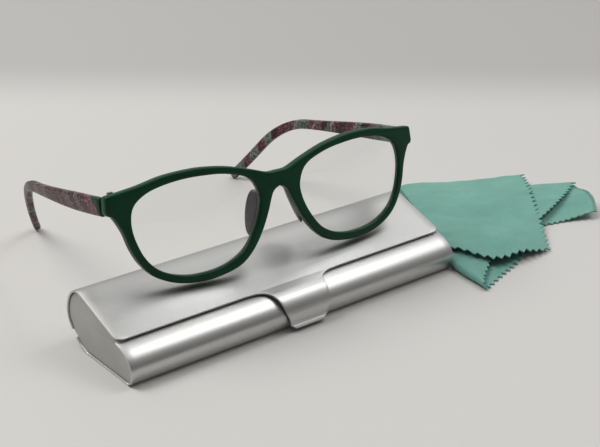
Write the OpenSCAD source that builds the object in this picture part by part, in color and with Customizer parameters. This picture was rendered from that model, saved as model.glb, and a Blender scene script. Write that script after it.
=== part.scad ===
// Spectacles standing on their aluminium case, with a folded cleaning cloth.
// Millimetres. +X runs along the case, -Y is its opening side, +Z is up.
// The origin is the centre of the case's flat bottom. Left is -X.

/* [Case] */
// Length of the case over its end caps
case_length = 160; // [150:1:170]
// Thickness of the aluminium sheet
sheet = 0.8; // [0.6:0.1:0.8]
// Thickness of the plastic end caps
cap_thickness = 2.6; // [2:0.2:4]
// Thickness of the felt lining
felt = 0.8; // [0.5:0.1:1]
// Number of barrels along the hinge, base and lid together
barrel_count = 9; // [7:2:11]

/* [Spectacles] */
// Distance between the lens centres
lens_spacing = 74.6; // [72:0.1:77]
// Radius to which the front is curved round the face
face_radius = 437; // [400:1:500]
// Front to back thickness of the rims
rim_depth = 4; // [3.6:0.2:4.4]
// Thickness of the lenses at the edge
lens_thickness = 1.8; // [1.6:0.1:2]
// Thickness of a temple
temple_thickness = 3.2; // [2.8:0.1:3.4]
// How far along a temple its bend behind the ear starts
ear_bend_at = 78; // [74:1:82]
// Radius of the ear bend
ear_bend_radius = 48; // [42:1:54]
// Angle of the ear bend
ear_bend_angle = 40; // [36:1:42]
// Straight length of the tip after the bend
tip_length = 23; // [20:1:24]
// Height of a temple at its hinge
temple_height = 7.2; // [6.8:0.2:7.6]
// Height of a temple at its tip
tip_height = 4.4; // [4:0.2:4.8]
// Radius to which a temple bows outward
bow_radius = 430; // [400:10:500]
// How sharply the part past the ear bend curls inward, as a radius
curl_radius = 166; // [150:2:200]
// How far the top of the front leans back
lean = 12.2; // [12:0.1:12.4]
// How far the left temple is swung in, where it was left standing
left_swing = 5; // [0:1:8]
// How much lower the left temple has been bent, so that both tips touch down
left_droop = 0.75; // [0:0.05:1]

/* [Cloth] */
// Height of the folded cloth
cloth_height = 9; // [6:1:12]

/* [Hidden] */
$fn = 48;

silver = [0.78, 0.78, 0.77];
grey = [0.58, 0.59, 0.56];
felt_black = [0.08, 0.08, 0.09];
steel = [0.62, 0.62, 0.63];
green = [0.07, 0.26, 0.17];
aubergine = [0.16, 0.12, 0.15];
patterned = [0.42, 0.2, 0.24];
clear = [0.85, 0.92, 0.92, 0.35];
teal = [0.43, 0.62, 0.58];

// ---- Smooth lines: each passes through its few points ----
steps = 4;
function between(a, b, c, d, t) =
    0.5 * (2 * b + (c - a) * t + (2 * a - 5 * b + 4 * c - d) * t * t + (3 * b - a - 3 * c + d) * t * t * t);
function curve(p) = let (n = len(p) - 1) [
    for (i = [0:n - 1], k = [0:steps - 1])
        between(p[max(i - 1, 0)], p[i], p[i + 1], p[min(i + 2, n)], k / steps),
    p[n]];
function loop(p) = let (n = len(p)) [
    for (i = [0:n - 1], k = [0:steps - 1])
        between(p[(i + n - 1) % n], p[i], p[(i + 1) % n], p[(i + 2) % n], k / steps)];
function unit(v) = v / norm(v);
function turned(v) = [-v[1], v[0]];
// A line moved sideways to its left by d, open or closed
function moved(p, d) = let (n = len(p) - 1) [
    for (i = [0:n]) p[i] + d * turned(unit(p[min(i + 1, n)] - p[max(i - 1, 0)]))];
function moved_loop(p, d) = let (n = len(p)) [
    for (i = [0:n - 1]) p[i] + d * turned(unit(p[(i + 1) % n] - p[(i + n - 1) % n]))];
function backwards(p) = [for (i = [len(p) - 1:-1:0]) p[i]];
function mirrored(p) = [for (q = backwards(p)) [-q[0], q[1]]];
// A band along an open line, between two distances to its left
function band(p, near, far) = concat(moved(p, near), backwards(moved(p, far)));

// A profile drawn in Y and Z, extruded along X about the middle
module along_x(length) rotate([90, 0, 90]) linear_extrude(length, center = true) children();
// A profile drawn in X and Z, extruded along Y
module along_y(depth) rotate([90, 0, 0]) linear_extrude(depth, center = true) children();

// ---- Case section, in Y and Z, clockwise, so its left is outside ----
seam = [-8.2, 15.5];
lid_slope = [0.944, 0.329];
hinge_at = [23.6, 4.7];
barrel_r = 1.5;
pin_r = 0.7;
pin_play = 0.05;
hinge_length = 144;
glue = 0.05;                                    // gap between a sheet and what lies on it
wrap = curve([seam + 25.4 * lid_slope, [19.2, 24.5], [22.9, 23.4], [26.3, 19.4], [27.9, 13.8],
    [27, 9.6], [24.7, 6.4]]);
lid_line = concat([seam, seam + 12 * lid_slope], wrap);
lid_back = curve([[27.9, 13.8], [27, 9.6], [24.7, 6.4]]);
lid_foot = curve([[27, 9.6], [24.7, 6.4], [23.4, 4.9]]);
floor_back = curve([[22, 3.8], [19.2, 1.7], [15, 0]]);
wall = curve([[-17.6, 4.9], [-17.3, 7.6], [-15.7, 10.2], [-13.2, 12.2], [-10.2, 13.6], [-7, 14.4]]);
wall_foot = curve([[-15.2, 0], [-16.8, 2], [-17.6, 4.9]]);
base_line = concat(floor_back, [[0, 0]], wall_foot, [for (i = [1:len(wall) - 1]) wall[i]]);
base_foot = curve([[23.4, 4.9], [22, 3.8], [19.2, 1.7]]);
// Tab on the front of the lid, standing off the wall, with a turned-out lip
tab_line = concat(
    [seam + 3 * lid_slope, seam],
    curve([[-12.1, 14.6], [-15.2, 13.3], [-17.7, 10.8], [-19.1, 7.6], [-19.3, 4.9], [-19, 3.3]]),
    [[-19.5, 2.4], [-20.7, 1.5]]);
tab_top_side = curve([[23, -8.1], [18.8, -8.4], [15.6, -9.4], [13.5, -11.5], [12.3, -14.4], [11.7, -17.5],
    [11.4, -24]]);
tab_front_side = [[24, 9.6], [11.9, 9.2], [10.6, 6.6], [9.3, 3.4], [8.9, 2.4], [6.8, 0.2]];

module base_shell() color(silver)
    along_x(case_length) polygon(band(base_line, 0, -sheet));

// A cap fills the section and sits just inside the sheet's ends
module end_cap(side) color(grey)
    translate([side * (case_length / 2 - 0.5 - cap_thickness / 2), 0, 0])
        along_x(cap_thickness)
            polygon(concat(moved(lid_line, -sheet - 0.2), moved(base_line, -sheet - 0.2)));

inside_length = case_length - 2 * cap_thickness - 1.4;
felt_line = concat([[16.7, 1.85], [14.9, 1]],
    curve([[-12.8, 1], [-14.8, 1.7], [-15.9, 3.3], [-16.4, 5.2], [-16.1, 7.5], [-14.9, 9.5]]));
module base_lining() color(felt_black)
    along_x(inside_length) polygon(band(felt_line, 0, -felt));

// Barrels share the hinge's length; each leaf owns every second one
module hinge_leaf(first, strip, foot) color(steel) {
    pitch = hinge_length / barrel_count;
    difference() {
        union() {
            along_x(hinge_length) polygon(band(strip, -sheet - glue, -sheet - glue - 0.5));
            for (i = [first:2:barrel_count - 1])
                translate([-hinge_length / 2 + (i + 0.5) * pitch, 0, 0]) {
                    along_x(pitch - 0.4) polygon(band(foot, -sheet - glue, -sheet - glue - 0.5));
                    along_x(pitch - 0.4) translate(hinge_at) circle(barrel_r);
                }
        }
        along_x(hinge_length + 2) translate(hinge_at) circle(pin_r + pin_play);
    }
}
module base_hinge_leaf() hinge_leaf(0, curve([[21.9, 3.7], [19.2, 1.7], [17.4, 0.9]]), base_foot);
module lid_hinge_leaf() hinge_leaf(1, lid_back, lid_foot);
module hinge_pin() color(steel) along_x(hinge_length + 1) translate(hinge_at) circle(pin_r);

// Bonded magnet strip behind the front wall and its steel keeper under the lid
module magnet_strip() color(steel)
    along_x(50) polygon(band(curve([[-13.2, 12.2], [-10.2, 13.6], [-7.4, 14.3]]), -sheet - glue, -sheet - 1.1));
module keeper_strip() color(steel)
    along_x(50) polygon(band([seam + 2 * lid_slope, seam + 8 * lid_slope], -sheet - glue, -sheet - 0.4));

module lid_shell() color(silver) {
    along_x(case_length) polygon(band(lid_line, 0, -sheet));
    intersection() {
        along_x(50) polygon(band(backwards(tab_line), 0, -sheet));
        linear_extrude(30) polygon(concat([[23, 0]], tab_top_side, mirrored(tab_top_side), [[-23, 0]]));
        along_y(60) polygon(concat([[24, 30]], tab_front_side, mirrored(tab_front_side), [[-24, 30]]));
    }
}
module lid_lining() color(felt_black)
    along_x(inside_length)
        polygon(band(concat([seam + 9 * lid_slope], [for (i = [0:len(wrap) - 11]) wrap[i]]),
            -sheet - glue, -sheet - glue - felt));

// ---- Spectacles, in their own frame: X across, -Y forward, Z up, lens centres at Z = 0 ----
function lens_edge(grow) = moved_loop(loop([
    [5, 11.6], [13.5, 10.7], [20, 8.8], [24.7, 5.3], [26.4, 0], [25.8, -7], [22.6, -15.4], [17, -21.2],
    [8, -24.8], [-2, -25.6], [-11, -24.2], [-18.6, -20.2], [-23.8, -13.4], [-27, -6], [-27.4, 0.4],
    [-23.6, 6.6], [-14, 10.1], [-4, 11.4]]), grow);
module lens_shape(grow) translate([lens_spacing / 2, 0]) polygon(lens_edge(grow));
half_outline = concat(
    curve([[0, 7], [4.7, 7.2], [11.8, 9.7], [21.3, 12.6], [29.3, 14.1], [37.3, 14.8], [48.9, 14.4], [60, 12.4],
        [71.4, 11]]),
    [[72.6, 10.2]],
    curve([[73, 4.4], [70.6, 2.8], [68.6, -0.6], [66.9, -4.8], [65.2, -10.9], [62.2, -17.2], [57.3, -22.8],
        [50.3, -26.6], [42.3, -28.5], [33.3, -28.8], [22.1, -26.6], [15.1, -21.6], [9.8, -14.4], [6.3, -7.7],
        [3.4, -1.2], [0, 0.9]]));

// A slab curved round the face, between two depths of its mid surface; Y = 0 at the lens centres
sagitta = lens_spacing * lens_spacing / 8 / face_radius;
module face_slab(thickness) difference() {
    translate([0, face_radius - sagitta, -40]) cylinder(r = face_radius + thickness / 2, h = 80, $fn = 96);
    translate([0, face_radius - sagitta, -50]) cylinder(r = face_radius - thickness / 2, h = 100, $fn = 96);
}
module both_sides() {
    children();
    mirror([1, 0, 0]) children();
}
glasses_at = [4.4, 8, 48.95];
glasses_yaw = -2.3;
glasses_roll = 0.75;
module standing() translate(glasses_at) rotate([0, 0, glasses_yaw]) rotate([-lean, 0, 0])
    rotate([0, glasses_roll, 0]) children();
module on_side(side) {
    if (side < 0) mirror([1, 0, 0]) children();
    else children();
}

module front_frame() color(green) standing() difference() {
    intersection() {
        along_y(40) polygon(concat(half_outline, [for (p = backwards(half_outline)) [-p[0], p[1]]]));
        face_slab(rim_depth);
    }
    along_y(60) both_sides() lens_shape(0);
    intersection() {
        along_y(40) both_sides() lens_shape(0.65);
        face_slab(lens_thickness + 0.1);
    }
}
module lens(side) color(clear) standing() on_side(side) intersection() {
    along_y(40) lens_shape(0.6);
    face_slab(lens_thickness);
}
pad_shape = loop([[0, 9.3], [2.9, 6.4], [3.7, 0], [3, -6.2], [0, -9.1], [-3.2, -6.4], [-4.6, -1],
    [-4.2, 4.5], [-2.6, 7.6]]);
module nose_pad(side) color(aubergine) standing() on_side(side)
    translate([9.8, 4.4, -8.8]) rotate([0, -18, -24]) rotate([90, 0, 90])
        linear_extrude(2.2, center = true) polygon(pad_shape);

// Three-barrel temple hinge: two barrels on the front, one on the temple, a screw from above
fold_at = [67.3, 8.5, 7];
fold_tilt = 3.5;
knuckle_h = 2.2;
module at_fold() translate(fold_at) rotate([-fold_tilt, 0, 0]) children();
module front_hinge(side) color(steel) standing() on_side(side) at_fold() difference() {
    for (z = [-1.5 * knuckle_h, 0.5 * knuckle_h]) translate([0, 0, z]) {
        cylinder(r = 1.5, h = knuckle_h);
        translate([-1.5, -3.3, 0]) cube([3, 3.3, knuckle_h]);
    }
    translate([0, 0, -6]) cylinder(r = 0.75, h = 12);
}
module hinge_screw(side) color(steel) standing() on_side(side) at_fold() {
    translate([0, 0, -3.7]) cylinder(r = 0.7, h = 7.4);
    translate([0, 0, 3.4]) cylinder(r = 1.2, h = 0.7);
}
module swung(side) at_fold() rotate([0, 0, side < 0 ? left_swing : 0]) rotate([fold_tilt, 0, 0])
    translate(-fold_at) children();
module temple_hinge(side) color(steel) standing() on_side(side) at_fold()
    rotate([0, 0, side < 0 ? left_swing : 0]) difference() {
        union() {
            translate([0, 0, -knuckle_h / 2 + 0.1]) cylinder(r = 1.5, h = knuckle_h - 0.2);
            translate([0, 0, -knuckle_h / 2 + 0.1]) cube([2.9, 6, knuckle_h - 0.2]);
        }
        translate([0, 0, -6]) cylinder(r = 0.75, h = 12);
    }

// Temple centre line seen from the side: level, an arc behind the ear, then a straight tip
temple_start = 7.1;
temple_level = 6.5;
function bent(a) = [ear_bend_at + ear_bend_radius * sin(a), temple_level - ear_bend_radius * (1 - cos(a))];
temple_side = concat(
    [for (y = [temple_start:(ear_bend_at - temple_start) / 12:ear_bend_at - 1]) [y, temple_level]],
    [for (a = [0:5:ear_bend_angle]) bent(a)],
    [for (k = [0.5, 1]) bent(ear_bend_angle) + k * tip_length * [cos(ear_bend_angle), -sin(ear_bend_angle)]]);
// Half its height: full as far as taper_from, then eased down to the tip's by the ear bend
taper_from = 20;
function half_height(y) = let (t = min(1, max(0, (y - taper_from) / (ear_bend_at - taper_from))))
    (tip_height + (temple_height - tip_height) * (1 + cos(180 * t)) / 2) / 2;
// How far out it runs: an arc about its widest place, curled further in past the ear bend
widest = [50, 73.4];
function far_out(y) = widest[1] - pow(y - widest[0], 2) / (2 * bow_radius)
    - pow(max(0, y - ear_bend_at), 2) / (2 * curl_radius);
temple_plan = [for (y = [temple_start - 1:4:136]) [y, far_out(y)]];
// A band along a temple's side line, with a round far end
function ribbon(p) = let (
    n = len(p) - 1,
    ahead = unit(p[n] - p[n - 1]),
    left = [for (i = [0:n]) p[i] + half_height(p[i][0]) * turned(unit(p[min(i + 1, n)] - p[max(i - 1, 0)]))],
    right = [for (i = [0:n]) p[i] - half_height(p[i][0]) * turned(unit(p[min(i + 1, n)] - p[max(i - 1, 0)]))],
    tip = [for (a = [75:-15:-75]) p[n] + tip_height / 2 * (cos(a) * ahead + sin(a) * turned(ahead))])
    concat(left, tip, backwards(right));
module drooped(side) translate(fold_at) rotate([side < 0 ? -left_droop : 0, 0, 0])
    translate(-fold_at) children();
module temple(side) color(patterned) standing() on_side(side) swung(side) drooped(side) intersection() {
    translate([65, 0, 0]) along_x(40) polygon(ribbon(temple_side));
    translate([0, 0, -40]) linear_extrude(80)
        polygon([for (p = band(temple_plan, -temple_thickness / 2, temple_thickness / 2)) [p[1], p[0]]]);
}

// Folded cloth lying at the right-hand end of the case
cloth_edge = [[82, -16], [82, -38], [92, -36], [106, -30], [124, -36], [146, -9], [176, -14], [196, 12],
    [176, 36], [118, 56], [88, 24]];
module cleaning_cloth() color(teal) linear_extrude(cloth_height) polygon(cloth_edge);

base_shell();
end_cap(-1);  // end_cap_left
end_cap(1);  // end_cap_right
base_lining();
base_hinge_leaf();
hinge_pin();
magnet_strip();
lid_shell();
lid_lining();
lid_hinge_leaf();
keeper_strip();
front_frame();
lens(-1);  // lens_left
lens(1);  // lens_right
nose_pad(-1);  // nose_pad_left
nose_pad(1);  // nose_pad_right
front_hinge(-1);  // front_hinge_left
front_hinge(1);  // front_hinge_right
hinge_screw(-1);  // hinge_screw_left
hinge_screw(1);  // hinge_screw_right
temple(-1);  // temple_left
temple(1);  // temple_right
temple_hinge(-1);  // temple_hinge_left
temple_hinge(1);  // temple_hinge_right
cleaning_cloth();
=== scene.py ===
# Spectacles on an aluminium case with a folded microfibre cloth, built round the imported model.
import math
import random

import bmesh
import bpy
from mathutils import Matrix, Vector, noise


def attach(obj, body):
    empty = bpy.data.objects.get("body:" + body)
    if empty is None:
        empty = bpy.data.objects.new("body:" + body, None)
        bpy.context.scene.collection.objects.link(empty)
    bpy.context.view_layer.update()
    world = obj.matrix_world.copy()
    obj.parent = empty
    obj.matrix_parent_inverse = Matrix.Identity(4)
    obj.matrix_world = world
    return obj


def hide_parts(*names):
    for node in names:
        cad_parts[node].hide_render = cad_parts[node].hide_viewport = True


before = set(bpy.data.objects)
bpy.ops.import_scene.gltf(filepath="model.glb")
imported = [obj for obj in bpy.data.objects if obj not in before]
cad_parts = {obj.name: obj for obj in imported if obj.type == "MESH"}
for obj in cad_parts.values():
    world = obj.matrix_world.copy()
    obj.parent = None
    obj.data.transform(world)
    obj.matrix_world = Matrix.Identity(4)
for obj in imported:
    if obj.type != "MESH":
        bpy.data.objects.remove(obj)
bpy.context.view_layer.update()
mm = 0.001
print("frame loaded:", len(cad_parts), "nodes")


def toLinear(hexText):
    channels = [int(hexText[i:i + 2], 16) / 255 for i in (1, 3, 5)]
    return tuple(c / 12.92 if c <= 0.04045 else ((c + 0.055) / 1.055) ** 2.4 for c in channels) + (1.0,)


def addNode(tree, kind, inputs=None, links=None, **settings):
    made = tree.nodes.new(kind)
    for key, value in settings.items():
        setattr(made, key, value)
    for key, value in (inputs or {}).items():
        made.inputs[key].default_value = value
    for key, source in (links or {}).items():
        tree.links.new(source, made.inputs[key])
    return made


def addRamp(tree, source, stops, **settings):
    ramp = addNode(tree, "ShaderNodeValToRGB", links={"Fac": source})
    for key, value in settings.items():
        setattr(ramp.color_ramp, key, value)
    while len(ramp.color_ramp.elements) < len(stops):
        ramp.color_ramp.elements.new(0.5)
    for element, (place, colour) in zip(ramp.color_ramp.elements, stops):
        element.position = place
        element.color = toLinear(colour) if isinstance(colour, str) else (colour, colour, colour, 1)
    return ramp.outputs["Color"]


def newMaterial(name, **inputs):
    material = bpy.data.materials.new(name)
    material.use_nodes = True
    tree = material.node_tree
    shader = tree.nodes["Principled BSDF"]
    for key, value in inputs.items():
        shader.inputs[key.replace("_", " ")].default_value = value
    return material, tree, shader


def addBump(tree, shader, height, strength, distance):
    bump = addNode(tree, "ShaderNodeBump", {"Strength": strength, "Distance": distance}, {"Height": height})
    tree.links.new(bump.outputs["Normal"], shader.inputs["Normal"])


def objectCoords(tree):
    return addNode(tree, "ShaderNodeTexCoord").outputs["Object"]


def noiseOf(tree, vector, scale, detail=3.0, roughness=0.5, distortion=0.0):
    made = addNode(tree, "ShaderNodeTexNoise", {"Scale": scale, "Detail": detail, "Roughness": roughness,
                                               "Distortion": distortion}, {"Vector": vector})
    return made.outputs["Fac"]


def smoothLine(points, steps=8, closed=False):
    # passes through every point, the same way as the case's and the frame's lines in the model
    count = len(points)
    spans = count if closed else count - 1
    pick = (lambda i: points[i % count]) if closed else (lambda i: points[min(max(i, 0), count - 1)])
    line = []
    for i in range(spans):
        a, b, c, d = (Vector(pick(i + k)) for k in (-1, 0, 1, 2))
        for k in range(steps):
            t = k / steps
            line.append(0.5 * (2 * b + (c - a) * t + (2 * a - 5 * b + 4 * c - d) * t * t
                               + (3 * b - a - 3 * c + d) * t ** 3))
    if not closed:
        line.append(Vector(points[-1]))
    return line


def addMesh(name, vertices, faces, material):
    mesh = bpy.data.meshes.new(name)
    mesh.from_pydata([tuple(v) for v in vertices], [], faces)
    mesh.materials.append(material)
    made = bpy.data.objects.new(name, mesh)
    bpy.context.scene.collection.objects.link(made)
    return made


def fixNormals(mesh):
    work = bmesh.new()
    work.from_mesh(mesh)
    bmesh.ops.remove_doubles(work, verts=work.verts, dist=1e-6)
    bmesh.ops.recalc_face_normals(work, faces=work.faces)
    work.to_mesh(mesh)
    work.free()


def finishMesh(made, sharpAngle=35):
    # modifiers become plain mesh, faces are smooth up to the given angle
    bpy.context.view_layer.update()
    graph = bpy.context.evaluated_depsgraph_get()
    plain = bpy.data.meshes.new_from_object(made.evaluated_get(graph))
    plain.name = made.name
    if made.type == "MESH":
        made.modifiers.clear()
        made.data = plain
        result = made
    else:
        name = made.name
        bpy.data.objects.remove(made)
        result = bpy.data.objects.new(name, plain)
        bpy.context.scene.collection.objects.link(result)
    smoothFaces(result, sharpAngle)
    return result


def smoothFaces(made, sharpAngle):
    for face in made.data.polygons:
        face.use_smooth = True
    made.data.set_sharp_from_angle(angle=math.radians(sharpAngle))


def placePiece(made, body, slot, *nodes):
    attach(made, body)
    if nodes:
        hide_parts(*nodes)
    return made


def makeAnodisedAluminium():
    # anodised aluminium sheet, bead blasted then dyed natural: a soft, blurred shine with a very fine grain
    material, tree, shader = newMaterial("anodisedAluminium", Metallic=1.0, Roughness=0.38)
    coords = objectCoords(tree)
    grain = noiseOf(tree, coords, 2600, 2)       # 0.4 mm, coarser than the real 0.1 mm grain so that it shows
    smear = noiseOf(tree, coords, 22, 4)         # 45 mm patches where it has been handled
    tree.links.new(addRamp(tree, grain, [(0.3, "#c4c4c3"), (0.7, "#cecdcc")]), shader.inputs["Base Color"])
    rough = addNode(tree, "ShaderNodeMapRange",
                    {"From Min": 0.3, "From Max": 0.7, "To Min": 0.35, "To Max": 0.42}, {"Value": smear})
    tree.links.new(rough.outputs["Result"], shader.inputs["Roughness"])
    addBump(tree, shader, grain, 0.12, 0.00003)
    return material


def makeGreyAbs():
    # ABS end caps moulded with a fine spark-eroded texture: matt, a little uneven
    material, tree, shader = newMaterial("greyAbs", Roughness=0.55, IOR=1.53)
    coords = objectCoords(tree)
    spark = noiseOf(tree, coords, 3300, 2)       # 0.3 mm texture
    cloud = noiseOf(tree, coords, 60, 3)
    tree.links.new(addRamp(tree, cloud, [(0.3, "#a3a49f"), (0.7, "#adaea9")]), shader.inputs["Base Color"])
    addBump(tree, shader, spark, 0.35, 0.00006)
    return material


def makeBlackFelt():
    # flocked felt lining: short black pile that scatters light at its edges
    material, tree, shader = newMaterial("blackFelt", Roughness=0.95, Sheen_Weight=0.4, Sheen_Roughness=0.5)
    coords = objectCoords(tree)
    pile = noiseOf(tree, coords, 2500, 4, 0.7)   # 0.4 mm tufts
    tree.links.new(addRamp(tree, pile, [(0.25, "#0b0b0d"), (0.75, "#26262a")]), shader.inputs["Base Color"])
    addBump(tree, shader, pile, 0.7, 0.0003)
    return material


def makeSteel(name, colour, roughness, grainScale):
    # rolled steel strip: fine lines along the case's length
    material, tree, shader = newMaterial(name, Metallic=1.0, Roughness=roughness)
    stretched = addNode(tree, "ShaderNodeMapping", {"Scale": (0.04, 1, 1)}, {"Vector": objectCoords(tree)})
    lines = noiseOf(tree, stretched.outputs["Vector"], grainScale, 3)
    dark = "#" + "".join(f"{max(0, int(colour[i:i + 2], 16) - 24):02x}" for i in (1, 3, 5))
    tree.links.new(addRamp(tree, lines, [(0.3, dark), (0.7, colour)]), shader.inputs["Base Color"])
    addBump(tree, shader, lines, 0.2, 0.00003)
    return material


def makeMagnetRubber():
    # magnet-filled rubber strip: dull brown-black
    material, tree, shader = newMaterial("magnetRubber", Roughness=0.8)
    grit = noiseOf(tree, objectCoords(tree), 1800, 3)
    tree.links.new(addRamp(tree, grit, [(0.3, "#1b1817"), (0.7, "#2b2624")]), shader.inputs["Base Color"])
    addBump(tree, shader, grit, 0.4, 0.0001)
    return material


def makeGreenNylon():
    # injection-moulded nylon, tumbled to a silky matt finish: deep green, pale only on rounded edges
    material, tree, shader = newMaterial("greenNylon", Roughness=0.36, IOR=1.5, Specular_IOR_Level=0.18)
    coords = objectCoords(tree)
    cloud = noiseOf(tree, coords, 130, 4)
    fine = noiseOf(tree, coords, 4200, 2)        # 0.25 mm tumbled skin
    tree.links.new(addRamp(tree, cloud, [(0.3, "#083722"), (0.7, "#0b3f29")]), shader.inputs["Base Color"])
    addBump(tree, shader, fine, 0.25, 0.00003)
    return material


def makePadPlastic():
    # soft-touch nose pads, aubergine
    material, tree, shader = newMaterial("padPlastic", Roughness=0.38, IOR=1.5, Subsurface_Weight=0.1)
    shader.inputs["Subsurface Radius"].default_value = (0.001, 0.0006, 0.0008)
    cloud = noiseOf(tree, objectCoords(tree), 300, 3)
    tree.links.new(addRamp(tree, cloud, [(0.3, "#1f1a23"), (0.7, "#2b222c")]), shader.inputs["Base Color"])
    return material


def makeLensGlass():
    # clear spectacle lens with a hard coat: nearly invisible, a faint cool reflection
    material, tree, shader = newMaterial("lensGlass", Roughness=0.0, IOR=1.5, Transmission_Weight=1.0)
    shader.inputs["Base Color"].default_value = (0.985, 1.0, 0.995, 1)
    return material


laminate = {
    "hingeEnd": "#123c29",   # the first millimetres match the front
    "hingeLength": 3.5,      # mm of it
    "outer": ["#4e262b", "#704845", "#281c26", "#744c54", "#4c2433", "#67595b"],
    "inner": ["#6c3540", "#56685f", "#3a1821", "#6b4850", "#282026", "#72817a"],
    "line": "#9c8e86",       # thin pale lines between some bands
    "band": (3, 7),          # mm, narrowest and widest
    "lineWidth": 0.8,        # mm
    "length": 150,
    "lean": (-0.9, 0.5),     # how far a band lies from the hinge for each mm up, outside and inside
    "ragged": 2.4,           # mm that a band's edge wanders
    "seed": 11,
}


def bandStops(palette, seed):
    # bands of uneven width, never twice the same colour running, a pale line after every third
    pick = random.Random(seed)
    stops, place, colour = [(0, laminate["hingeEnd"])], laminate["hingeLength"], None
    while place < laminate["length"] and len(stops) < 31:
        colour = pick.choice([c for c in palette if c != colour])
        stops.append((place, colour))
        place += pick.uniform(*laminate["band"])
        if len(stops) % 4 == 0:
            stops.append((place, laminate["line"]))
            place += laminate["lineWidth"]
    return [(at / laminate["length"], colour) for at, colour in stops if at < laminate["length"]]


def makeTempleLaminate():
    # printed film moulded under clear nylon: leaning bands, mottled, with thin pale lines and flecks
    material, tree, shader = newMaterial("templeLaminate", Roughness=0.36, IOR=1.5, Specular_IOR_Level=0.2)
    flat = addNode(tree, "ShaderNodeUVMap", uv_map="alongTemple").outputs["UV"]
    inner = addNode(tree, "ShaderNodeAttribute", attribute_name="innerFace").outputs["Fac"]
    parts = addNode(tree, "ShaderNodeSeparateXYZ", links={"Vector": flat})

    def maths(operation, inputs, links):
        return addNode(tree, "ShaderNodeMath", inputs, links, operation=operation).outputs[0]

    lean = addNode(tree, "ShaderNodeMapRange", {"To Min": laminate["lean"][0], "To Max": laminate["lean"][1]},
                   {"Value": inner}).outputs["Result"]
    leaned = maths("MULTIPLY_ADD", {}, {0: parts.outputs["Y"], 1: lean, 2: parts.outputs["X"]})
    wander = maths("MULTIPLY_ADD", {1: laminate["ragged"] * mm * 2},
                   {0: noiseOf(tree, flat, 420, 3), 2: leaned})
    place = maths("MULTIPLY_ADD", {1: 1000 / laminate["length"], 2: -laminate["ragged"] / laminate["length"]},
                  {0: wander})
    sides = [addRamp(tree, place, bandStops(laminate[side], laminate["seed"] + k), interpolation="CONSTANT")
             for k, side in enumerate(("outer", "inner"))]
    bands = addNode(tree, "ShaderNodeMix", links={"Factor": inner, "A": sides[0], "B": sides[1]},
                    data_type="RGBA")
    mottle = noiseOf(tree, flat, 900, 5, 0.72, 0.4)      # flecks of about 1 mm
    printed = maths("GREATER_THAN", {1: laminate["hingeLength"] / laminate["length"]}, {0: place})
    inked = maths("MULTIPLY", {}, {0: printed, 1: addRamp(tree, mottle, [(0.4, 0.85), (0.58, 0.0)])})
    dark = addNode(tree, "ShaderNodeMix", {"B": toLinear("#190f15")},
                   {"A": bands.outputs["Result"], "Factor": inked}, data_type="RGBA")
    flecked = maths("MULTIPLY", {}, {0: printed, 1: addRamp(tree, mottle, [(0.54, 0.0), (0.68, 0.55)])})
    pale = addNode(tree, "ShaderNodeMix", {"B": toLinear("#b59a9c")},
                   {"A": dark.outputs["Result"], "Factor": flecked}, data_type="RGBA")
    tree.links.new(pale.outputs["Result"], shader.inputs["Base Color"])
    addBump(tree, shader, mottle, 0.06, 0.00004)
    return material


def makeMicrofibre():
    # warp-knitted microfibre, brushed: dense fine loops, a soft bloom where it turns away
    material, tree, shader = newMaterial("microfibre", Roughness=0.9, Sheen_Weight=0.55, Sheen_Roughness=0.45)
    shader.inputs["Sheen Tint"].default_value = toLinear("#b9d8d0")
    flat = addNode(tree, "ShaderNodeUVMap", uv_map="cut").outputs["UV"]
    # 0.6 mm ribs, drawn coarser than the real ones so that they show
    loops = addNode(tree, "ShaderNodeTexWave", {"Scale": 520.0, "Distortion": 1.5, "Detail": 2.0},
                    {"Vector": flat}, wave_type="BANDS", bands_direction="DIAGONAL")
    nap = noiseOf(tree, flat, 900, 5, 0.65)
    cloud = noiseOf(tree, flat, 45, 3)
    both = addNode(tree, "ShaderNodeMath", {1: 0.35}, {0: loops.outputs["Fac"], 2: nap},
                   operation="MULTIPLY_ADD")
    base = addRamp(tree, cloud, [(0.3, "#5f9488"), (0.7, "#6fa599")])
    shade = addNode(tree, "ShaderNodeMix", {"Factor": 0.18}, {"A": base,
                    "B": addRamp(tree, nap, [(0.3, "#3c6f63"), (0.7, "#8fc0b4")])}, data_type="RGBA")
    tree.links.new(shade.outputs["Result"], shader.inputs["Base Color"])
    addBump(tree, shader, both.outputs[0], 0.35, 0.0002)
    return material


def makeTableTop():
    # painted board: pale warm grey
    material, tree, shader = newMaterial("tableTop", Roughness=0.7)
    coords = objectCoords(tree)
    cloud = addRamp(tree, noiseOf(tree, coords, 1.2, 2), [(0.3, "#c5c3c1"), (0.7, "#c9c8c5")])
    away = addNode(tree, "ShaderNodeVectorMath", {1: (0.626, 0.78, 0)}, {0: coords}, operation="DOT_PRODUCT")
    # painted shade: the table top darkens towards the back from 240 mm away, standing in for the dimmer
    # backdrop
    backdropShade = addNode(tree, "ShaderNodeMapRange",
                   {"From Min": 0.24, "From Max": 0.34, "To Min": 0, "To Max": 0.26},
                   {"Value": away.outputs["Value"]}, interpolation_type="SMOOTHSTEP")
    # painted shade mixed into the table's colour
    shadedTop = addNode(tree, "ShaderNodeMix", {"B": toLinear("#000000")}, {"A": cloud, "Factor":
                    backdropShade.outputs["Result"]}, data_type="RGBA")
    tree.links.new(shadedTop.outputs["Result"], shader.inputs["Base Color"])
    return material


aluminium = makeAnodisedAluminium()
greyAbs = makeGreyAbs()
blackFelt = makeBlackFelt()
strapSteel = makeSteel("strapSteel", "#a6a6a5", 0.32, 3000)
hingeSteel = makeSteel("hingeSteel", "#9c9c9b", 0.3, 2500)
magnetRubber = makeMagnetRubber()
greenNylon = makeGreenNylon()
padPlastic = makePadPlastic()
lensGlass = makeLensGlass()
templeLaminate = makeTempleLaminate()
microfibre = makeMicrofibre()
print("materials made:", len(bpy.data.materials))

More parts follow.
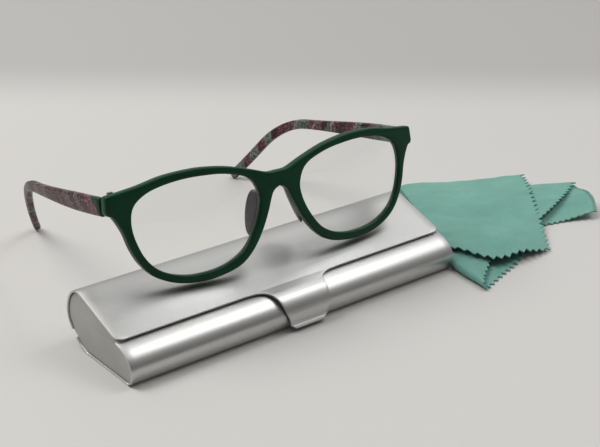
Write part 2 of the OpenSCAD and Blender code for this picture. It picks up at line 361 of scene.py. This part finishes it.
case = {
    "halfLength": 80, "sheet": 0.8, "felt": 0.8, "cornerRadius": 3.2, "edgeRound": 0.16,
    "capThickness": 2.6, "capInset": 0.5, "capGap": 0.35, "capRound": 0.35, "liningHalf": 76.7,
    "seam": (-8.2, 15.5), "slope": (0.944, 0.329),
}
seam = Vector(case["seam"])
slope = Vector(case["slope"])
rolledBack = [seam + 25.4 * slope, (19.2, 24.5), (22.9, 23.4), (26.3, 19.4), (27.9, 13.8), (27, 9.6),
              (24.7, 6.4)]
lidLine = [seam + k * 1.27 * slope for k in range(20)] + smoothLine(rolledBack, 10)
floorLine = smoothLine([(22, 3.8), (19.2, 1.7), (15, 0)], 8)
wallLine = smoothLine([(-15.2, 0), (-16.8, 2), (-17.6, 4.9), (-17.3, 7.6), (-15.7, 10.2), (-13.2, 12.2),
                       (-10.2, 13.6), (-7, 14.4)], 10)
baseLine = [Vector((p.x, max(p.y, 0))) for p in
            floorLine + [Vector((15 - 3.4 * k, 0)) for k in range(1, 9)] + wallLine]
feltLine = smoothLine([(17, 1.55), (14.9, 0.9), (8, 0.9)], 4) + smoothLine(
    [(-12.8, 0.9), (-14.9, 1.6), (-16.1, 3.3), (-16.65, 5.2), (-16.35, 7.6), (-15.3, 9.6)], 6)
tabLine = [seam] + smoothLine([(-12.1, 14.6), (-15.2, 13.3), (-17.7, 10.8), (-19.1, 7.6), (-19.3, 4.9),
                               (-19, 3.3)], 10)
tabLine += [Vector((-19.15, 2.9)), Vector((-19.6, 2.35)), Vector((-20.7, 1.5))]
# half width of the tab against the distance from the seam along it
tabSide = smoothLine([(22.5, 0), (18, 0.35), (15.1, 1.4), (13.2, 3.3), (12.1, 6.3), (11.5, 9.6), (10.7, 13),
                      (9.6, 16.4), (9.1, 18.2)], 6) + [Vector((8.9, 19.4)), Vector((7.2, 20.9))]


def alongLine(line, distance):
    # the point a given distance along a line
    left = distance
    for a, b in zip(line, line[1:]):
        step = (b - a).length
        if left <= step:
            return a.lerp(b, left / step)
        left -= step
    return line[-1]


def lineLength(line):
    return sum((b - a).length for a, b in zip(line, line[1:]))


def bendSheet(name, rows, thickness, material, sideColumns=14, middleColumns=20, tabRows=0):
    # rows: (Y, Z, half length); the first tabRows rows are only as wide as the tab
    columns = sideColumns * 2 + middleColumns + 1
    tabHalf = rows[tabRows][3] if tabRows else rows[0][2] * 0.4
    vertices, index, faces = [], {}, []
    for r, row in enumerate(rows):
        y, z, half = row[:3]
        for c in range(columns):
            if c < sideColumns:
                if r < tabRows:
                    continue
                x = -half + (half - tabHalf) * c / sideColumns
            elif c > sideColumns + middleColumns:
                if r < tabRows:
                    continue
                x = tabHalf + (half - tabHalf) * (c - sideColumns - middleColumns) / sideColumns
            else:
                reach = half if r < tabRows else tabHalf
                x = reach * (2 * (c - sideColumns) / middleColumns - 1)
            index[r, c] = len(vertices)
            vertices.append(Vector((x, y, z)) * mm)
    for r in range(len(rows) - 1):
        for c in range(columns - 1):
            corners = [(r, c), (r, c + 1), (r + 1, c + 1), (r + 1, c)]
            if all(k in index for k in corners):
                faces.append([index[k] for k in corners])
    made = addMesh(name, vertices, faces, material)
    solid = made.modifiers.new("gauge", "SOLIDIFY")
    solid.thickness = thickness * mm
    solid.offset = -1
    solid.use_even_offset = True
    rounding = made.modifiers.new("brokenEdge", "BEVEL")
    rounding.width = case["edgeRound"] * mm
    rounding.segments = 2
    rounding.limit_method = "ANGLE"
    rounding.angle_limit = math.radians(50)
    return finishMesh(made)


def makeLid():
    # the tab's rows first, then the full-width lid with its front corners rounded
    rows = []
    for side in reversed(tabSide):
        point = alongLine(tabLine, side.y)
        rows.append((point.x, point.y, side.x))
    tabHalf = rows.pop()[2]
    tabRows = len(rows)
    radius = case["cornerRadius"]
    line = denseStart(lidLine, radius)
    travelled, before = 0.0, line[0]
    for point in line:
        travelled += (point - before).length
        before = point
        inset = 0.0
        if travelled < radius:
            inset = radius - math.sqrt(max(0.0, radius ** 2 - (radius - travelled) ** 2))
        rows.append((point.x, point.y, case["halfLength"] - inset, tabHalf))
    return bendSheet("lidSheet", rows, case["sheet"], aluminium, tabRows=tabRows)


def denseStart(line, radius):
    # extra rows over the first millimetres, for the rounded front corners
    total = lineLength(line)
    places = [radius * (1 - math.cos(math.radians(10 * k))) for k in range(10)]
    rest = [float(k) for k in range(4, int(total) + 1)] + [total]
    return [alongLine(line, p) for p in places + [p for p in rest if p > places[-1] + 0.3]]


def plainRows(line, half):
    return [(p.x, p.y, half) for p in line]


lidSheet = placePiece(makeLid(), "lid", "anodised_aluminium", "lid_shell")
baseSheet = bendSheet("baseSheet", plainRows(baseLine, case["halfLength"]), case["sheet"], aluminium)
placePiece(baseSheet, "case", "anodised_aluminium", "base_shell")
baseFelt = bendSheet("baseFelt", plainRows(feltLine, case["liningHalf"]), case["felt"], blackFelt)
placePiece(baseFelt, "case", "felt", "base_lining")


def movedLine(line, distance):
    # to the line's left, which is outside on the case
    out = []
    for k, point in enumerate(line):
        along = (line[min(k + 1, len(line) - 1)] - line[max(k - 1, 0)]).normalized()
        out.append(point + distance * Vector((-along.y, along.x)))
    return out


lidFeltLine = movedLine([seam + k * slope for k in range(9, 25)] + smoothLine(rolledBack, 10)[:-12],
                        -case["sheet"] - 0.06)
lidFelt = bendSheet("lidFelt", plainRows(lidFeltLine, case["liningHalf"]), case["felt"], blackFelt)
placePiece(lidFelt, "lid", "felt", "lid_lining")
print("case sheets bent")


def cutPlate(name, outlines, thickness, rounding, material, roundSteps=3):
    # a flat plate from closed outlines in mm, the later ones holes, with rounded edges
    data = bpy.data.curves.new(name, "CURVE")
    data.dimensions = "2D"
    data.fill_mode = "BOTH"
    data.extrude = (thickness / 2 - rounding) * mm
    data.bevel_depth = rounding * mm
    data.bevel_resolution = roundSteps
    data.offset = -rounding * mm
    for outline in outlines:
        spline = data.splines.new("POLY")
        spline.points.add(len(outline) - 1)
        for point, place in zip(spline.points, outline):
            point.co = (place[0] * mm, place[1] * mm, 0, 1)
        spline.use_cyclic_u = True
    made = bpy.data.objects.new(name, data)
    bpy.context.scene.collection.objects.link(made)
    plate = finishMesh(made)
    plate.data.materials.clear()
    plate.data.materials.append(material)
    fixNormals(plate.data)
    smoothFaces(plate, 40)
    return plate


capLine = movedLine(lidLine[::2] + [lidLine[-1]], -case["sheet"] - case["capGap"]) + movedLine(
    baseLine, -case["sheet"] - case["capGap"])
standUp = Matrix(((0, 0, 1, 0), (1, 0, 0, 0), (0, 1, 0, 0), (0, 0, 0, 1)))   # X, Y to the case's Y, Z
for side, node in ((-1, "end_cap_left"), (1, "end_cap_right")):
    name = "endCapLeft" if side < 0 else "endCapRight"
    cap = cutPlate(name, [capLine], case["capThickness"], case["capRound"], greyAbs)
    out = side * (case["halfLength"] - case["capInset"] - case["capThickness"] / 2) * mm
    cap.data.transform(Matrix.Translation((out, 0, 0)) @ standUp)
    placePiece(cap, "case", "grey_plastic", node)
print("end caps made")

glasses = {
    "at": (4.4, 8, 48.95), "yaw": -2.3, "lean": 12.2, "roll": 0.75,
    "lensSpacing": 74.6, "faceRadius": 437, "rimDepth": 4.0, "rimRound": 0.85, "lensThickness": 1.7,
    "lensBulge": 0.5, "lensSeat": 1.018,     # mm at its middle, and how far it reaches into the groove
    "foldAt": (67.3, 8.5, 7), "foldTilt": 3.5, "leftSwing": 5, "leftDroop": 0.75,
    "templeHalfThickness": 1.6,
}


def turn(degrees, axis):
    return Matrix.Rotation(math.radians(degrees), 4, axis)


standing = (Matrix.Translation(Vector(glasses["at"]) * mm) @ turn(glasses["yaw"], "Z")
            @ turn(-glasses["lean"], "X") @ turn(glasses["roll"], "Y"))
sagitta = glasses["lensSpacing"] ** 2 / 8 / glasses["faceRadius"]


def faceCurve(x):
    # depth of the front's middle surface at a distance across, in mm
    return glasses["faceRadius"] - math.sqrt(glasses["faceRadius"] ** 2 - x * x) - sagitta


lensEdge = smoothLine([
    (5, 11.6), (13.5, 10.7), (20, 8.8), (24.7, 5.3), (26.4, 0), (25.8, -7), (22.6, -15.4), (17, -21.2),
    (8, -24.8), (-2, -25.6), (-11, -24.2), (-18.6, -20.2), (-23.8, -13.4), (-27, -6), (-27.4, 0.4),
    (-23.6, 6.6), (-14, 10.1), (-4, 11.4)], 6, closed=True)
halfFront = smoothLine([(0, 7), (4.7, 7.2), (11.8, 9.7), (21.3, 12.6), (29.3, 14.1), (37.3, 14.8),
                        (48.9, 14.4), (60, 12.4), (71.4, 11)], 6)
halfFront += [Vector((72.3, 10.6)), Vector((72.6, 9.8))]
halfFront += smoothLine([(73, 4.8), (72.2, 3.6), (70.6, 2.8), (68.6, -0.6), (66.9, -4.8), (65.2, -10.9),
                         (62.2, -17.2), (57.3, -22.8), (50.3, -26.6), (42.3, -28.5), (33.3, -28.8),
                         (22.1, -26.6), (15.1, -21.6), (9.8, -14.4), (6.3, -7.7), (3.4, -1.2), (0, 0.9)], 6)


def makeFront():
    outline = halfFront[:-1] + [Vector((-p.x, p.y)) for p in reversed(halfFront)][:-1]
    holes = [[Vector((side * (p.x + glasses["lensSpacing"] / 2), p.y)) for p in lensEdge] for side in (-1, 1)]
    front = cutPlate("spectacleFront", [outline] + holes, glasses["rimDepth"], glasses["rimRound"],
                     greenNylon, 4)
    for vertex in front.data.vertices:
        x, z, depth = vertex.co
        vertex.co = (x, faceCurve(x / mm) * mm - depth, z)
    fixNormals(front.data)
    smoothFaces(front, 40)
    front.data.transform(standing)
    return front


spectacleFront = placePiece(makeFront(), "spectacles", "green_plastic", "front_frame")


def makeLens(name, side):
    rings = 10
    centre = Vector((0, -7))
    vertices, faces = [], []
    count = len(lensEdge)
    for face in (-1, 1):
        for r in range(1, rings + 1):
            share = r / rings
            for p in lensEdge:
                flat = centre + (p - centre) * share * glasses["lensSeat"]
                x = flat.x + glasses["lensSpacing"] / 2
                bulge = glasses["lensBulge"] * (1 - share ** 2)
                y = faceCurve(x) - bulge + face * glasses["lensThickness"] / 2
                vertices.append(Vector((side * x, y, flat.y)) * mm)
        x = glasses["lensSpacing"] / 2 + centre.x
        y = faceCurve(x) - glasses["lensBulge"] + face * glasses["lensThickness"] / 2
        vertices.append(Vector((side * x, y, centre.y)) * mm)
    half = rings * count + 1
    for s in (0, 1):
        start = s * half
        for k in range(count):
            after = (k + 1) % count
            faces.append([start + half - 1, start + k, start + after])
            for r in range(rings - 1):
                a, b = start + r * count + k, start + r * count + after
                faces.append([a, a + count, b + count, b])
    rim = (rings - 1) * count
    for k in range(count):
        after = (k + 1) % count
        faces.append([rim + k, rim + after, half + rim + after, half + rim + k])
    made = addMesh(name, vertices, faces, lensGlass)
    fixNormals(made.data)
    smoothFaces(made, 50)
    made.data.transform(standing)
    return made


nosePads = {
    "halfHeight": 9.2, "halfWidth": 4.05, "halfThickness": 1.1, "lead": 0.45,
    "at": (9.8, 4.4, -8.8), "splay": -18, "toeIn": -24,
}


def makePad(name, side):
    # a moulded pad: a flattened leaf shape, fuller at the bottom
    rings, around = 24, 28
    vertices, faces = [], []
    for r in range(rings + 1):
        tilt = math.pi * r / rings
        z = nosePads["halfHeight"] * math.cos(tilt)
        girth = math.sin(tilt) ** 0.8
        for k in range(around):
            turnBy = 2 * math.pi * k / around
            y = (nosePads["halfWidth"] * math.sin(turnBy) - nosePads["lead"]) * girth
            x = nosePads["halfThickness"] * math.cos(turnBy) * girth
            vertices.append(Vector((x, y, z)))
    for r in range(rings):
        for k in range(around):
            after = (k + 1) % around
            a, b = r * around + k, r * around + after
            faces.append([a, b, b + around, a + around])
    made = addMesh(name, vertices, faces, padPlastic)
    lay = Matrix.Translation(nosePads["at"]) @ turn(nosePads["toeIn"], "Z") @ turn(nosePads["splay"], "Y")
    made.data.transform(Matrix.Scale(mm, 4) @ Matrix.Diagonal((side, 1, 1, 1)) @ lay)
    fixNormals(made.data)
    smoothFaces(made, 60)
    made.data.transform(standing)
    return made


temples = {
    "start": 7.1, "level": 6.5, "bendAt": 78, "bendRadius": 48, "bendAngle": 40, "tipLength": 23,
    "widest": (50, 73.4), "bowRadius": 430, "curlRadius": 166,
    "height": 7.2, "tipHeight": 4.4, "taperFrom": 20,
}


def templePoint(y, z):
    # bows out as far as its widest place, curls further in past the ear bend
    at, out = temples["widest"]
    past = max(0, y - temples["bendAt"])
    bow = (y - at) ** 2 / 2 / temples["bowRadius"]
    curl = past ** 2 / 2 / temples["curlRadius"]
    return Vector((out - bow - curl, y, z))


def templeHalf(y):
    t = min(1, max(0, (y - temples["taperFrom"]) / (temples["bendAt"] - temples["taperFrom"])))
    deep, thin = temples["height"], temples["tipHeight"]
    return (thin + (deep - thin) * (1 + math.cos(math.pi * t)) / 2) / 2


def templeRun():
    # level, an arc behind the ear, then a straight tip
    start, level, bendAt, radius = (temples[k] for k in ("start", "level", "bendAt", "bendRadius"))
    run = [templePoint(start + (bendAt - start) * k / 24, level) for k in range(24)]
    for k in range(17):
        angle = math.radians(temples["bendAngle"]) * k / 16
        run.append(templePoint(bendAt + radius * math.sin(angle), level - radius * (1 - math.cos(angle))))
    for k in range(1, 7):
        step = temples["tipLength"] * k / 6
        run.append(templePoint(bendAt + radius * math.sin(angle) + step * math.cos(angle),
                               level - radius * (1 - math.cos(angle)) - step * math.sin(angle)))
    return run


def makeTemple(name, side):
    points = templeRun()
    rings = []
    for k, point in enumerate(points):
        ahead = (points[min(k + 1, len(points) - 1)] - points[max(k - 1, 0)]).normalized()
        rings.append((point, ahead, templeHalf(point.y), 1.0))
    start, ahead, half, _ = rings[0]
    rings[0] = (start, ahead, half, 0.9)
    rings.insert(1, (start + 0.25 * ahead, ahead, half, 1.0))
    end, ahead, half, _ = rings[-1]
    for k in range(1, 9):                       # rounded tip
        lift = math.sin(math.radians(11.2 * k))
        rings.append((end + ahead * half * lift, ahead, half, math.cos(math.radians(11.2 * k))))
    around = 32
    vertices, faces, places = [], [], []
    travelled, before = 0.0, rings[0][0]
    for point, ahead, half, share in rings:
        travelled += (point - before).length
        before = point
        across = (Vector((1, 0, 0)) - ahead * ahead.x).normalized()
        up = across.cross(ahead)
        for k in range(around):
            c, s = math.cos(2 * math.pi * k / around), math.sin(2 * math.pi * k / around)
            squareX = math.copysign(abs(c) ** 0.55, c) * glasses["templeHalfThickness"]
            squareZ = math.copysign(abs(s) ** 0.55, s) * half
            vertices.append(point + across * squareX * share + up * squareZ * share)
            places.append((travelled * mm, squareZ * mm))
    for r in range(len(rings) - 1):
        for k in range(around):
            after = (k + 1) % around
            a, b = r * around + k, r * around + after
            faces.append([a, a + around, b + around, b])
    faces.append(list(range(around)))
    faces.append([(len(rings) - 1) * around + k for k in reversed(range(around))])
    made = addMesh(name, vertices, faces, templeLaminate)
    layer = made.data.uv_layers.new(name="alongTemple")
    for loop in made.data.loops:
        layer.data[loop.index].uv = places[loop.vertex_index]
    fold = Vector(glasses["foldAt"])
    tilt = math.radians(glasses["foldTilt"])
    axis = Vector((0, math.sin(tilt), math.cos(tilt)))
    place = Matrix.Identity(4)
    if side < 0:
        about = Matrix.Translation(fold)
        place = (about @ Matrix.Rotation(math.radians(glasses["leftSwing"]), 4, axis)
                 @ turn(-glasses["leftDroop"], "X") @ about.inverted())
    made.data.transform(Matrix.Scale(mm, 4) @ Matrix.Diagonal((side, 1, 1, 1)) @ place)
    recalcNormals(made.data)
    smoothFaces(made, 45)
    made.data.transform(standing)
    faceSide = made.data.attributes.new("innerFace", "FLOAT", "POINT")
    for k in range(len(vertices)):
        turned = math.cos(2 * math.pi * (k % around) / around)
        faceSide.data[k].value = min(1.0, max(0.0, 0.5 - 4 * turned))
    return made


def recalcNormals(mesh):
    work = bmesh.new()
    work.from_mesh(mesh)
    bmesh.ops.recalc_face_normals(work, faces=work.faces)
    work.to_mesh(mesh)
    work.free()


for side, word in ((-1, "Left"), (1, "Right")):
    low = word.lower()
    placePiece(makeLens("lens" + word, side), "spectacles", "lens", "lens_" + low)
    placePiece(makePad("nosePad" + word, side), "spectacles", "pad_plastic", "nose_pad_" + low)
    placePiece(makeTemple("temple" + word, side), "temple_" + low, "temple_laminate", "temple_" + low)
print("spectacles made")

# metal parts carried over from the model

metals = {"base_hinge_leaf": strapSteel, "lid_hinge_leaf": strapSteel, "hinge_pin": strapSteel,
          "keeper_strip": strapSteel, "magnet_strip": magnetRubber}
for word in ("left", "right"):
    metals.update({"front_hinge_" + word: hingeSteel, "hinge_screw_" + word: hingeSteel,
                   "temple_hinge_" + word: hingeSteel})
for node, material in metals.items():
    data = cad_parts[node].data
    data.materials.clear()
    data.materials.append(material)

cloth = {
    "cut": 150, "steps": 80, "toothDepth": 2.2, "thickness": 0.5, "puff": 0.35,
    # lines across the folded cloth: distance along the cut, then X, Y, Z in mm
    "topFront": [(0, 126.5, -30.5, 1.6), (14, 112, -29.5, 4.4), (30, 94.5, -27, 4.8), (43, 88, -13, 5.4),
                 (48.5, 85, -8, 5.5), (50, 83.8, -7.5, 4.9), (51.5, 85, -8, 4.2), (60, 89, -10, 4),
                 (100, 101, -16, 3.8), (150, 113, -20, 3.6)],
    "topMiddle": [(0, 152.5, 1.5, 4.7), (20, 132, 10, 5.3), (43, 106, 20, 5.2), (48.5, 101, 22, 5.2),
                  (50, 99.8, 22.3, 4.7), (51.5, 101, 22, 4.1), (60, 107, 18, 3.9), (100, 128, 10, 3.8),
                  (150, 158, -4.2, 4.2)],
    "back": [(0, 178, 34, 2.4), (25, 149, 47.5, 2.7), (43, 126, 56.5, 2.7), (48.5, 119.5, 58, 2.7),
             (50, 118, 57, 2.7), (51.5, 118.5, 54, 2.7), (60, 124, 48, 2.6), (100, 150, 34, 2.6),
             (130, 171, 22.5, 2.7), (150, 188, 9.5, 4.2)],
    "lowMiddle": [(0, 142, 4, 0.5), (25, 118, 4, 0.5), (43, 90, -9, 0.5), (48.5, 84, -10.5, 0.6),
                  (50, 82.6, -10.5, 1.8), (51.5, 84, -10, 3), (60, 91, -7, 3), (95, 125, 14, 1.6),
                  (125, 160, 6, 1.4), (140, 174, -3, 2.6), (150, 181, -8, 6.4)],
    "lowFront": [(0, 131, -19, 0.5), (18, 107, -30, 0.5), (32, 93, -34.5, 0.5), (44, 81, -38.8, 0.5),
                 (48.5, 77.6, -40, 0.8), (50, 76.4, -40, 1.9), (51.5, 77.4, -38.6, 3), (57, 81, -35, 3.1),
                 (70, 93.5, -26, 2.6), (95, 121, -3, 1.4), (120, 147, -10.5, 0.6), (135, 159, -14, 1.2),
                 (150, 171.5, -19, 5)],
}


def lineAt(line, along):
    # smooth through the given points, at any distance along the cut
    k = 0
    while k < len(line) - 2 and line[k + 1][0] < along:
        k += 1
    a, b, c, d = (Vector(line[min(max(k + i, 0), len(line) - 1)]) for i in (-1, 0, 1, 2))
    t = (along - b[0]) / (c[0] - b[0])
    before = (c - a) / max(c[0] - a[0], 0.01) * (c[0] - b[0])
    after = (d - b) / max(d[0] - b[0], 0.01) * (c[0] - b[0])
    place = (b * (2 * t ** 3 - 3 * t ** 2 + 1) + before * (t ** 3 - 2 * t ** 2 + t)
             + c * (3 * t ** 2 - 2 * t ** 3) + after * (t ** 3 - t ** 2))
    return Vector(place[1:])


def clothPoint(across, along):
    # the lines above, with the back fold rounded over between them
    top, crest, low = (lineAt(cloth[k], across) for k in ("topMiddle", "back", "lowMiddle"))
    outer = min(1.0, max(0.0, (51.5 - across) / 3))
    rise = 0.75 + 1.15 * outer
    forward = Vector((-0.9, -1.9, 0))
    upper, under = crest + forward + Vector((0, 0, rise)), crest + forward - Vector((0, 0, rise))
    rows = [(0, *lineAt(cloth["topFront"], across)), (37, *top), (71, *upper), (75, *crest), (79, *under),
            (120, *low), (150, *lineAt(cloth["lowFront"], across))]
    place = lineAt(rows, along)
    swell = 1 + cloth["puff"] * noise.noise(Vector((place.x, place.y, 3)) * 0.035)
    fine = 0.12 * noise.noise(Vector((place.x, place.y, 9)) * 0.16)
    return Vector((place.x, place.y, max(0.35, place.z * (swell + fine))))


def makeCloth():
    steps, cut = cloth["steps"], cloth["cut"]
    places = []
    for k in range(steps + 1):
        at = cut * k / steps
        places.append(at)
        if k < steps and 40 < at < 84:
            places.append(at + 0.5 * cut / steps)     # finer where it is folded
    vertices, flats, faces = [], [], []

    def tooth(at):
        return cloth["toothDepth"] * (abs((at * steps / cut / 2) % 1 * 2 - 1) - 0.5)

    count = len(places)
    for q in places:
        for p in places:
            along = min(max(q + tooth(p) * (1 if q == cut else -1), -2), cut + 2) if q in (0, cut) else q
            across = p + tooth(q) * (1 if p == cut else -1) if p in (0, cut) else p
            flats.append((across * mm, along * mm))
            vertices.append(clothPoint(across, along) * mm)
    for j in range(count - 1):
        for i in range(count - 1):
            a = j * count + i
            faces.append([a, a + 1, a + count + 1, a + count])
    made = addMesh("microfibreCloth", vertices, faces, microfibre)
    layer = made.data.uv_layers.new(name="cut")
    for loop in made.data.loops:
        layer.data[loop.index].uv = flats[loop.vertex_index]
    thick = made.modifiers.new("thickness", "SOLIDIFY")
    thick.thickness = cloth["thickness"] * mm
    thick.offset = 0
    return finishMesh(made, 70)


microfibreCloth = placePiece(makeCloth(), "cloth", "microfibre", "cleaning_cloth")
print("cloth folded")

stage = {"floor": 6.0, "azimuth": -38.78, "elevation": 23.78, "roll": 0.425, "distance": 562.3,
         "target": (37.77, 34.17, 15), "focal": 77.97}
floorCorners = [Vector((x, y, 0)) * stage["floor"] for x, y in ((-1, -1), (1, -1), (1, 1), (-1, 1))]
floor = addMesh("floor", floorCorners, [[0, 1, 2, 3]], makeTableTop())


def addArea(name, place, target, size, power, colour):
    data = bpy.data.lights.new(name, "AREA")
    data.shape = "RECTANGLE"
    data.size, data.size_y = size
    data.energy = power
    data.color = toLinear(colour)[:3]
    lamp = bpy.data.objects.new(name, data)
    lamp.location = place
    lamp.rotation_euler = (Vector(target) - Vector(place)).to_track_quat("-Z", "Y").to_euler()
    bpy.context.scene.collection.objects.link(lamp)


addArea("backBox", (-0.6, 0.8, 1.4), (0.03, 0.03, 0), (0.9, 0.9), 20, "#fffdfa")
addArea("topBox", (0.88, -0.19, 1.33), (0.03, 0.03, 0), (0.75, 0.75), 5.7, "#ffffff")

world = bpy.data.worlds.new("studio")
world.use_nodes = True
bpy.context.scene.world = world
direction = addNode(world.node_tree, "ShaderNodeTexCoord").outputs["Generated"]
facing = addNode(world.node_tree, "ShaderNodeVectorMath", {1: (0.3, 0.37, 0.88)}, {0: direction},
                 operation="DOT_PRODUCT").outputs["Value"]
sky = addRamp(world.node_tree, facing,
              [(0.0, "#6f6f6e"), (0.3, "#858584"), (0.65, "#c8c8c6"), (1.0, "#f0f0ee")])
world.node_tree.links.new(sky, world.node_tree.nodes["Background"].inputs["Color"])
world.node_tree.nodes["Background"].inputs["Strength"].default_value = 0.8


def addCamera():
    azimuth, elevation, roll = (math.radians(stage[k]) for k in ("azimuth", "elevation", "roll"))
    target = Vector(stage["target"]) * mm
    back = Vector((math.sin(azimuth) * math.cos(elevation), -math.cos(azimuth) * math.cos(elevation),
                   math.sin(elevation)))
    level = Vector((math.cos(azimuth), math.sin(azimuth), 0))
    upright = back.cross(level)
    right = level * math.cos(roll) + upright * math.sin(roll)
    up = back.cross(right)
    data = bpy.data.cameras.new("camera")
    data.lens, data.sensor_width, data.sensor_fit = stage["focal"], 36, "HORIZONTAL"
    data.clip_start = 0.01
    camera = bpy.data.objects.new("camera", data)
    camera.matrix_world = Matrix((right, up, back)).transposed().to_4x4()
    camera.matrix_world.translation = target + back * stage["distance"] * mm
    bpy.context.scene.collection.objects.link(camera)
    bpy.context.scene.camera = camera


addCamera()
bpy.context.scene.view_settings.view_transform = "Standard"
print("stage set")
